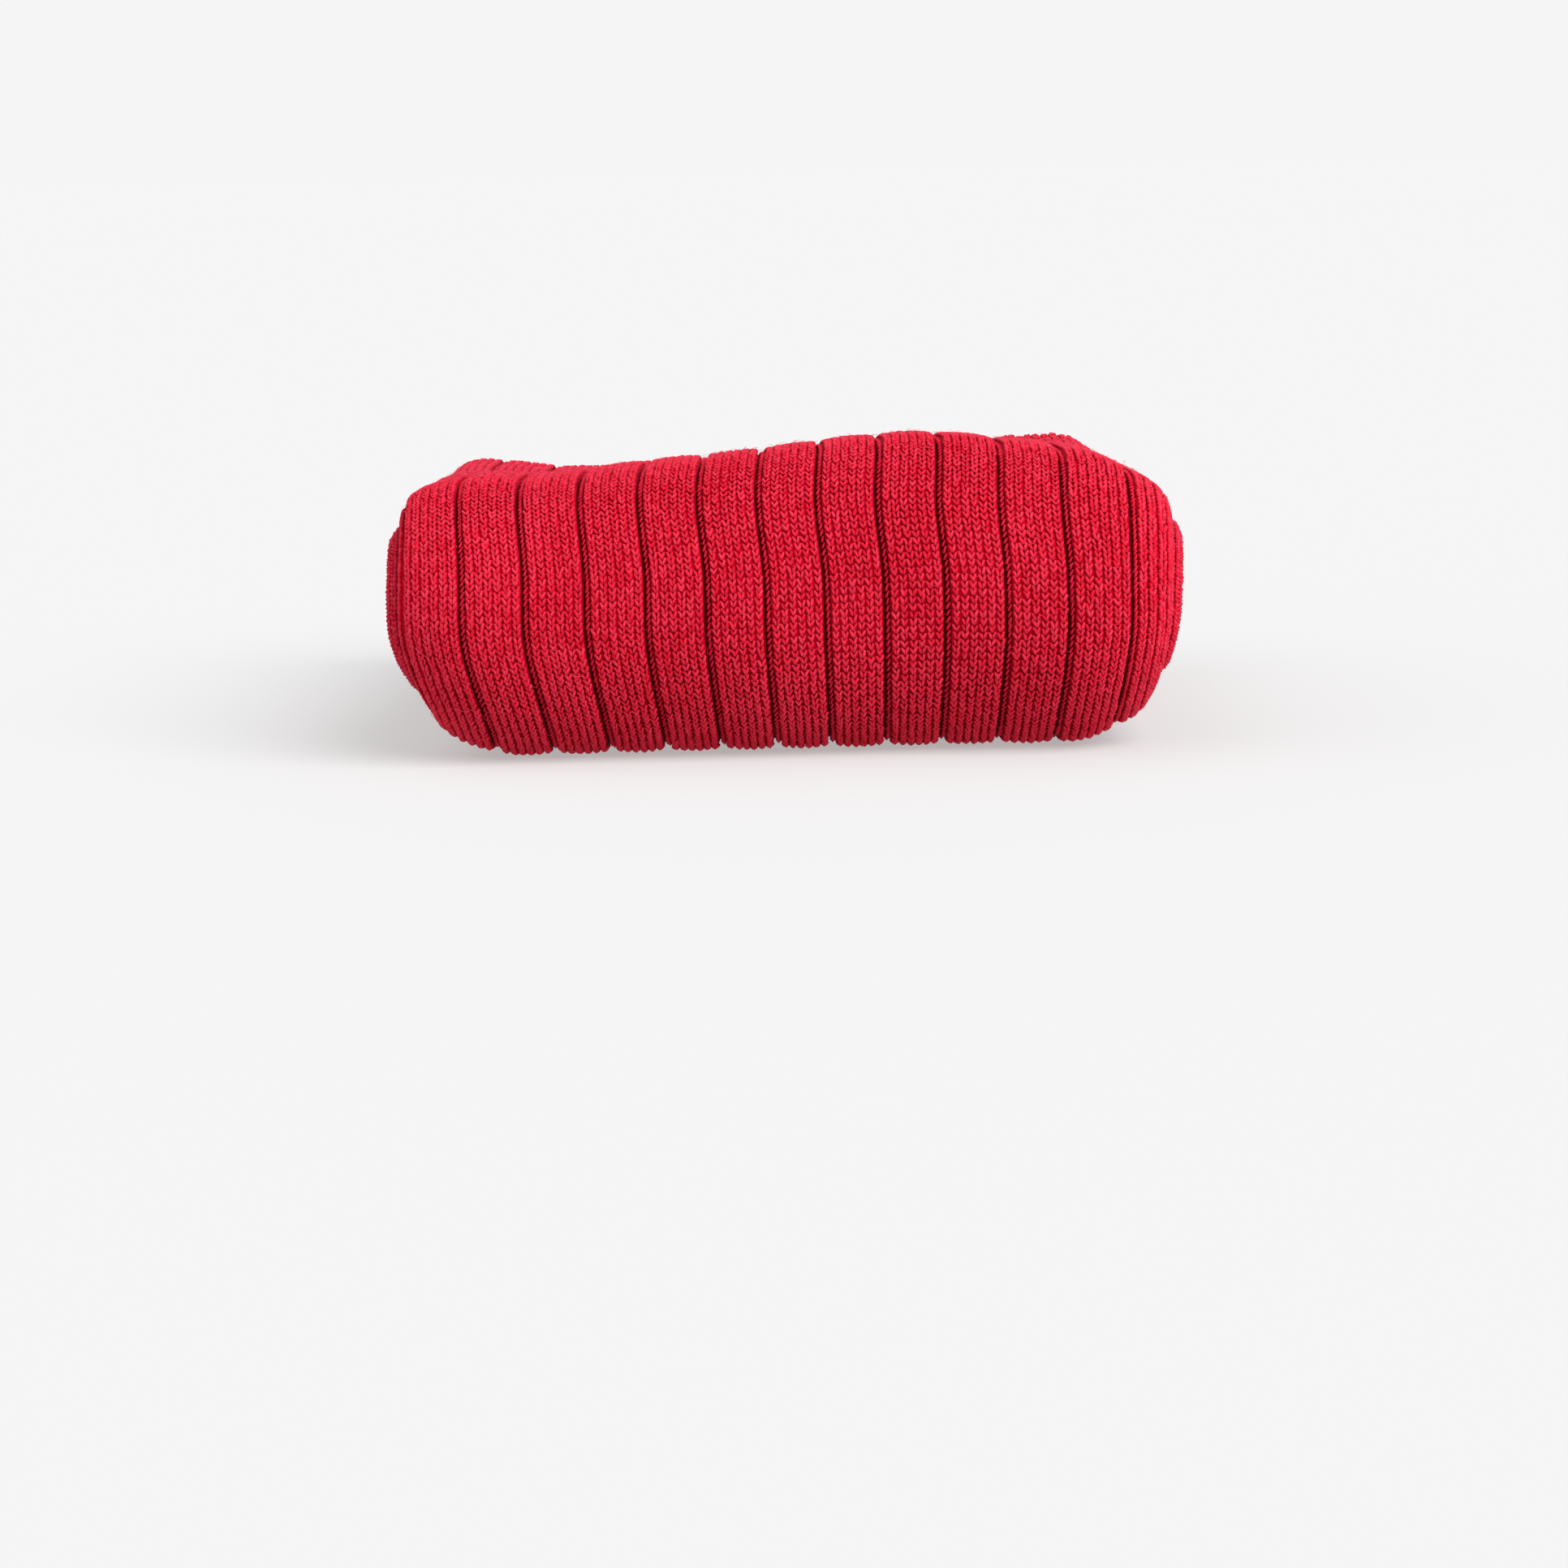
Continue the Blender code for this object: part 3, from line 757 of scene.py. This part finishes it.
def planting_tree(name, labels, shape):
    """A tree that plants one small closed shape on each point, turned to the point's own directions."""
    tree = bpy.data.node_groups.new(name, "GeometryNodeTree")
    tree.interface.new_socket("Geometry", in_out="INPUT", socket_type="NodeSocketGeometry")
    for label, kind in labels:
        tree.interface.new_socket(label, in_out="INPUT", socket_type=kind)
    tree.interface.new_socket("Geometry", in_out="OUTPUT", socket_type="NodeSocketGeometry")
    entry = tree.nodes.new("NodeGroupInput")
    given = {socket.name: Strand(tree, socket) for socket in entry.outputs if socket.name}
    net = Strand(tree)

    def stored(field, kind):
        return net.node("GeometryNodeInputNamedAttribute", {"data_type": kind}, {"Name": field})

    turned = net.node(
        "FunctionNodeAxesToRotation",
        {"primary_axis": "Z", "secondary_axis": "Y"},
        {0: stored("leg", "FLOAT_VECTOR"), 1: stored("normal", "FLOAT_VECTOR")},
    )
    copies = net.node("GeometryNodeInstanceOnPoints", {}, {
        "Points": given["Geometry"],
        "Instance": shape(net, given),
        "Rotation": turned,
        "Scale": stored("stretch", "FLOAT_VECTOR"),
    })
    solid = net.node("GeometryNodeRealizeInstances", {}, {"Geometry": copies})
    dyed = net.node("GeometryNodeSetMaterial", {}, {"Geometry": solid, "Material": given["Yarn"]})
    leaving = tree.nodes.new("NodeGroupOutput")
    tree.links.new(dyed.socket, leaving.inputs[0])
    return tree


def yarn_leg(net, given):
    """One leg of a stitch: a plump grain of yarn, which stores how high each point stands on it, for a
    painted highlight on its top and painted shade towards its root.
    """
    sizes = {"X": given["Width"], "Y": given["Thickness"], "Z": given["Length"]}
    size = net.node("ShaderNodeCombineXYZ", {}, sizes)
    round_ball = {"Segments": given["Segments"], "Rings": given["Rings"], "Radius": 0.5}
    ball = net.node("GeometryNodeMeshUVSphere", {}, round_ball)
    crest_up = net.node("GeometryNodeTransform", {}, {"Geometry": ball, "Rotation": (0.0, 0.0, math.pi / 2)})
    place = net.node("GeometryNodeInputPosition", {}, {})
    height = net.node("ShaderNodeSeparateXYZ", {}, {"Vector": place}, "Z")
    fuller = height * (1.0 - 2.0 * net.maths("ABSOLUTE", height)) * LEG_FULLNESS
    lifted = net.node("ShaderNodeCombineXYZ", {}, {"Z": fuller})
    grain = net.node("GeometryNodeSetPosition", {}, {"Geometry": crest_up, "Offset": lifted})
    # Painted shade and highlight: the leg's colour is lighter and pinker at its top and darker down its sides
    # to its root.
    above = net.maths("MAXIMUM", net.node("ShaderNodeSeparateXYZ", {}, {"Vector": place}, "Y") * 2.0, 0.0)
    crowned = net.node(
        "GeometryNodeStoreNamedAttribute", {"data_type": "FLOAT"},
        {"Geometry": grain, "Name": "crown_shade", "Value": above},
    )
    grained = net.node(
        "GeometryNodeStoreNamedAttribute", {"data_type": "FLOAT_VECTOR"},
        {"Geometry": crowned, "Name": "grain", "Value": place},
    )
    sized = net.node("GeometryNodeTransform", {}, {"Geometry": grained, "Scale": size})
    return net.node("GeometryNodeSetShadeSmooth", {}, {0: sized})


def planted(name, points, tree, inputs, material):
    """Points turned into a plain mesh of planted shapes."""
    cloud = bpy.data.meshes.new(name)
    cloud.vertices.add(len(points.place))
    cloud.vertices.foreach_set("co", points.place.ravel())
    for field, kind, key in (
        ("leg", "FLOAT_VECTOR", "vector"),
        ("normal", "FLOAT_VECTOR", "vector"),
        ("stretch", "FLOAT_VECTOR", "vector"),
        ("tone", "FLOAT", "value"),
    ):
        cloud.attributes.new(field, kind, "POINT").data.foreach_set(key, getattr(points, field).ravel())
    piece = bpy.data.objects.new(name, cloud)
    bpy.context.scene.collection.objects.link(piece)
    modifier = piece.modifiers.new("Planting", "NODES")
    modifier.node_group = tree
    for item in tree.interface.items_tree:
        if item.in_out == "INPUT" and item.name in inputs:
            modifier[item.identifier] = inputs[item.name]
    graph = bpy.context.evaluated_depsgraph_get()
    made = piece.evaluated_get(graph)
    mesh = bpy.data.meshes.new_from_object(made, preserve_all_data_layers=True, depsgraph=graph)
    piece.modifiers.clear()
    piece.data = mesh
    for unused in ("leg", "normal", "stretch"):
        if unused in mesh.attributes:
            mesh.attributes.remove(mesh.attributes[unused])
    return finished(piece, material)


LEG_INPUTS = (
    ("Width", "NodeSocketFloat"),
    ("Thickness", "NodeSocketFloat"),
    ("Length", "NodeSocketFloat"),
    ("Segments", "NodeSocketInt"),
    ("Rings", "NodeSocketInt"),
    ("Yarn", "NodeSocketMaterial"),
)
knitting_tree = planting_tree("Knit stitches", LEG_INPUTS, yarn_leg)
# Its light, pinker colour shows most on the tops of the legs, as a painted highlight.
knit_cotton = cotton(
    "red cotton yarn",
    deep=(204, 0, 30), light=(245, 66, 94), sheen=0.22, roughness=0.60, hair_scale=5200.0, hair_strength=0.5,
    ply_strength=0.5,
)


def leg_inputs(detail):
    """The knitting tree's inputs for legs with so many segments and rings. Pointed legs are plumper and
    three-sided ones wider, to fill as much."""
    plumper = POINTED_PLUMPER if detail == SLIGHT else 1.0
    wider = THREE_SIDED_WIDER if detail == PLAIN else 1.0
    return {
        "Width": LEG_WIDTH * plumper * wider * MM,
        "Thickness": LEG_THICKNESS * plumper * MM,
        "Length": LEG_LENGTH * plumper * MM,
        "Segments": detail[0],
        "Rings": detail[1],
        "Yarn": knit_cotton,
    }


def knit_pieces(prefix, sock, zones, seed):
    """The stitches of a sock's zones, one piece for each zone."""
    chance = np.random.default_rng(seed)
    made = []
    for zone in zones:
        name = f"{prefix}_{zone.name}"
        legs = knitting(sock, zone, chance)
        made.append(planted(name, legs, knitting_tree, leg_inputs(zone.detail), knit_cotton))
    return made


OUTER_ZONES = (
    Zone("underside_stitches", 0.0, FRONT_STARTS, OUTER_FACE, SLIGHT),
    Zone("lower_fold_stitches", FRONT_STARTS, FRONT_HALVES_MEET, OUTER_FACE, FULL),
    Zone("upper_fold_stitches", FRONT_HALVES_MEET, FRONT_ENDS, OUTER_FACE, FULL),
    Zone("top_stitches", FRONT_ENDS, TOP_ENDS, OUTER_FACE, PLAIN),
    Zone("back_fold_stitches", TOP_ENDS, FACE_ENDS, OUTER_FACE, PLAIN),
    Zone("foot_edge_stitches", FACE_ENDS, TOE_SHOWS, EDGES, SLIGHT),
    Zone("toe_stitches", TOE_SHOWS, SOCK_LENGTH, OUTER_FACE, SLIGHT),
    Zone("cuff_back_stitches", 0.0, CORNER_LENGTH, INNER_FACE, SLIGHT),
)
outer_stitches = knit_pieces("outer", outer, OUTER_ZONES, seed=11)


# The knitting of the inner sock, of the same yarn. Only its rounded side edges are seen, with its cuff and
# its toe at the back, so it has its stitches there alone.
INNER_LEG_ENDS = 220.0
INNER_TOE_SHOWS = 375.0
INNER_ZONES = (
    Zone("leg_edge_stitches", 0.0, INNER_LEG_ENDS, EDGES, SLIGHT),
    Zone("foot_edge_stitches", INNER_LEG_ENDS, INNER_TOE_SHOWS, EDGES, SLIGHT),
    Zone("toe_stitches", INNER_TOE_SHOWS, SOCK_LENGTH, OUTER_FACE, SLIGHT),
    Zone("cuff_back_stitches", 0.0, CORNER_LENGTH, INNER_FACE, SLIGHT),
)
inner_stitches = knit_pieces("inner", inner, INNER_ZONES, seed=12)


# The bound rims of the two cuffs and the linked seams of the two toes, which show at the back. They are two
# rows of fat loops of yarn, side by side all round the mouth or along the toe's closed end.
LOOP_PITCH = 1.05
LOOP_TILTS = (72.0, 108.0)
EDGE_INSET = 0.12
RIM_DEPTHS = (0.12, 0.72)
SEAM_DEPTHS = (0.15, 0.80)
LOOP_FATNESS = (1.7, 1.35, 1.15)


def bound_edge(name, sock, along, all_round, depths, seed):
    """Two rows of slanted loops on a sock's edge, at one distance from its cuff, like a flat braid: all round
    it, or from its left side to its right one."""
    chance = np.random.default_rng(seed)
    left, right, half = flat_part(sock, np.float64(along))
    whole_round = 2.0 * (right - left + math.pi * half)
    rows = []
    for depth, tilt in zip(depths, LOOP_TILTS):
        around = np.arange(left, left + whole_round if all_round else right, LOOP_PITCH)
        around = np.where(around > right + whole_round / 2.0, around - whole_round, around)
        ones = np.ones(len(around))
        rows.append(stitched(sock, along * ones, around, ones, ones, tilt, chance, depth))
    loops = joined(*rows)
    loops = loops._replace(stretch=loops.stretch * LOOP_FATNESS)
    return planted(name, loops, knitting_tree, leg_inputs(FULL), knit_cotton)


def rim_and_seam(prefix, sock, seed):
    """The bound rim of a sock's cuff and the seam of its toe."""
    rim = bound_edge(f"{prefix}_cuff_rim", sock, EDGE_INSET, True, RIM_DEPTHS, seed)
    seam = bound_edge(f"{prefix}_toe_seam", sock, SOCK_LENGTH - EDGE_INSET, False, SEAM_DEPTHS, seed + 1)
    return [rim, seam]


outer_stitches += rim_and_seam("outer", outer, seed=21)
inner_stitches += rim_and_seam("inner", inner, seed=23)


# The nap: short pale ends of cotton fibre that wear has teased out of the yarn. They stand off the cloth of
# the outer sock's leg, with a few longer stray ones.
FIBRE_MIDDLE = (0.10, 0.35, 0.55)
FIBRE_TIP = (0.0, 0.05, 1.0)
FIBRE_POINTS = 3
FIBRE_SIDES = 3
FIBRE_LEAN = 1.0
FIBRE_RISES = (-0.05, 0.35)
FIBRE_SIZES = (0.45, 1.5)
NAP_REACH = 51.0


def fibre(net, given):
    """One fibre: a thin bowed thread, which starts at its point and leans over."""
    bent = net.node("GeometryNodeCurveQuadraticBezier", {}, {
        "Resolution": FIBRE_POINTS - 1,
        "Start": (0.0, 0.0, 0.0),
        "Middle": FIBRE_MIDDLE,
        "End": FIBRE_TIP,
    })
    spare = net.node("GeometryNodeResampleCurve", {}, {"Curve": bent, "Count": FIBRE_POINTS})
    long = net.node("GeometryNodeTransform", {}, {"Geometry": spare, "Scale": given["Length"]})
    ring = {"Resolution": FIBRE_SIDES, "Radius": given["Radius"]}
    section = net.node("GeometryNodeCurvePrimitiveCircle", {}, ring)
    drawn = {"Curve": long, "Profile Curve": section, "Fill Caps": True}
    return net.node("GeometryNodeCurveToMesh", {}, drawn)


FIBRE_INPUTS = (
    ("Length", "NodeSocketVector"),
    ("Radius", "NodeSocketFloat"),
    ("Yarn", "NodeSocketMaterial"),
)
nap_tree = planting_tree("Nap fibres", FIBRE_INPUTS, fibre)
nap_cotton = cotton(
    "red cotton fibre ends",
    deep=(214, 46, 70), light=(240, 132, 148), sheen=0.3, roughness=0.7, hair_scale=5200.0, hair_strength=0.2,
)


def napped(name, sock, count, start, end, length, radius, seed):
    """Fibres strewn over a sock's cloth, each leaning its own way."""
    chance = np.random.default_rng(seed)
    along = chance.uniform(start, end, count)
    around = chance.uniform(-NAP_REACH, NAP_REACH, count)
    heading = np.radians(chance.uniform(-180.0, 180.0, count))[:, None]
    ones = np.ones(count)
    fibres = stitched(sock, along, around, ones, ones, FIBRE_LEAN, chance, -YARN_BELOW_SKIN)
    side = unit(np.cross(fibres.leg, fibres.normal))
    turned = fibres.leg * np.cos(heading) + side * np.sin(heading)
    risen = unit(turned + fibres.normal * chance.uniform(*FIBRE_RISES, (count, 1)))
    stretch = np.repeat(chance.uniform(*FIBRE_SIZES, (count, 1)), 3, axis=1)
    fibres = fibres._replace(leg=risen, stretch=stretch)
    inputs = {"Length": (length * MM,) * 3, "Radius": radius * MM, "Yarn": nap_cotton}
    return planted(name, fibres, nap_tree, inputs, nap_cotton)


outer_stitches += [
    napped("outer_nap", outer, count=4200, start=92.0, end=RIBS_END, length=0.75, radius=0.016, seed=31),
    napped("outer_stray_fibres", outer, count=34, start=96.0, end=215.0, length=2.2, radius=0.020, seed=32),
]


# The pale paper floor, and the soft studio light: a broad lamp from the upper right, a bright ceiling and
# left wall, a white backdrop behind the pair and a dim room in front of it.
FLOOR_REACH = 60.0
PAPER_SHADE = 0.36
PAPER_GLOW = 0.408
BACKDROP = 0.913
BACKDROP_STARTS = 0.72
BACKDROP_FADES_OVER = 0.18
ROOM = 0.07
CEILING = 0.62
LEFT_WALL = 0.70
LEFT_WALL_AT = (-0.75, -0.10, 0.65)
LEFT_WALL_NARROWNESS = 3.0
KEY_FROM = (0.50, -0.58, 0.64)
KEY_STRENGTH = 3.50
KEY_SOFTNESS = 50.0


def paper():
    """Matt off-white paper that glows faintly of itself, a painted light that keeps its shadows pale."""
    material = bpy.data.materials.new("off-white paper")
    material.use_nodes = True
    shader = material.node_tree.nodes["Principled BSDF"]
    shader.inputs["Base Color"].default_value = (PAPER_SHADE, PAPER_SHADE, PAPER_SHADE, 1.0)
    shader.inputs["Emission Color"].default_value = (1.0, 1.0, 1.0, 1.0)
    # Painted light: the paper glows faintly of itself, so that its shadows stay pale.
    shader.inputs["Emission Strength"].default_value = PAPER_GLOW
    shader.inputs["Roughness"].default_value = 1.0
    shader.inputs["Specular IOR Level"].default_value = 0.0
    return material


corners = [(x * FLOOR_REACH, y * FLOOR_REACH, 0.0) for x, y in ((-1, -1), (1, -1), (1, 1), (-1, 1))]
floor_mesh = bpy.data.meshes.new("floor")
floor_mesh.from_pydata(corners, [], [(0, 1, 2, 3)])
floor_mesh.materials.append(paper())
floor = bpy.data.objects.new("floor", floor_mesh)
bpy.context.scene.collection.objects.link(floor)

key = bpy.data.objects.new("key lamp", bpy.data.lights.new("key lamp", "SUN"))
key.data.energy = KEY_STRENGTH
key.data.angle = math.radians(KEY_SOFTNESS)
key.rotation_euler = Vector(KEY_FROM).to_track_quat("Z", "Y").to_euler()
bpy.context.scene.collection.objects.link(key)

world = bpy.data.worlds.new("studio")
world.use_nodes = True
studio = Strand(world.node_tree)
direction = studio.node("ShaderNodeTexCoord", {}, {}, "Generated")
upwards = studio.node("ShaderNodeSeparateXYZ", {}, {"Vector": direction}, "Z")
backwards = studio.node("ShaderNodeSeparateXYZ", {}, {"Vector": direction}, "Y")
leftwards = studio.node(
    "ShaderNodeVectorMath", {"operation": "DOT_PRODUCT"}, {0: direction, 1: LEFT_WALL_AT}, "Value",
)
ceiling = studio.maths("MULTIPLY", upwards, CEILING, clamp=True)
wall = studio.maths("POWER", studio.maths("MAXIMUM", leftwards, 0.0), LEFT_WALL_NARROWNESS) * LEFT_WALL
room = ROOM + ceiling + wall
backdrop = studio.maths("MULTIPLY", backwards - BACKDROP_STARTS, 1.0 / BACKDROP_FADES_OVER, clamp=True)
glow = room + (BACKDROP - room) * backdrop
studio.tree.links.new(glow.socket, world.node_tree.nodes["Background"].inputs["Strength"])
world.node_tree.nodes["Background"].inputs["Color"].default_value = (1.0, 1.0, 1.0, 1.0)
bpy.context.scene.world = world
bpy.context.scene.view_settings.view_transform = "Standard"


# The camera, low in front of the big fold. It leans a little, so that the pair keeps the slight lean that it
# has in the photograph.
CAMERA_PLACE = (-0.0011, -0.547, 0.073)
CAMERA_PITCH = 8.67
CAMERA_LEAN = 1.2
CAMERA_LENS = 93.4
CAMERA_SENSOR = 36.0
CAMERA_NEAR_LIMIT = 0.01

camera = bpy.data.objects.new("camera", bpy.data.cameras.new("camera"))
camera.data.lens = CAMERA_LENS
camera.data.sensor_width = CAMERA_SENSOR
camera.data.clip_start = CAMERA_NEAR_LIMIT
aimed = Euler((math.radians(90.0 - CAMERA_PITCH), 0.0, 0.0)).to_matrix().to_4x4()
leaned = Matrix.Rotation(math.radians(-CAMERA_LEAN), 4, "Z")
camera.matrix_world = Matrix.Translation(CAMERA_PLACE) @ aimed @ leaned
bpy.context.scene.collection.objects.link(camera)
bpy.context.scene.camera = camera
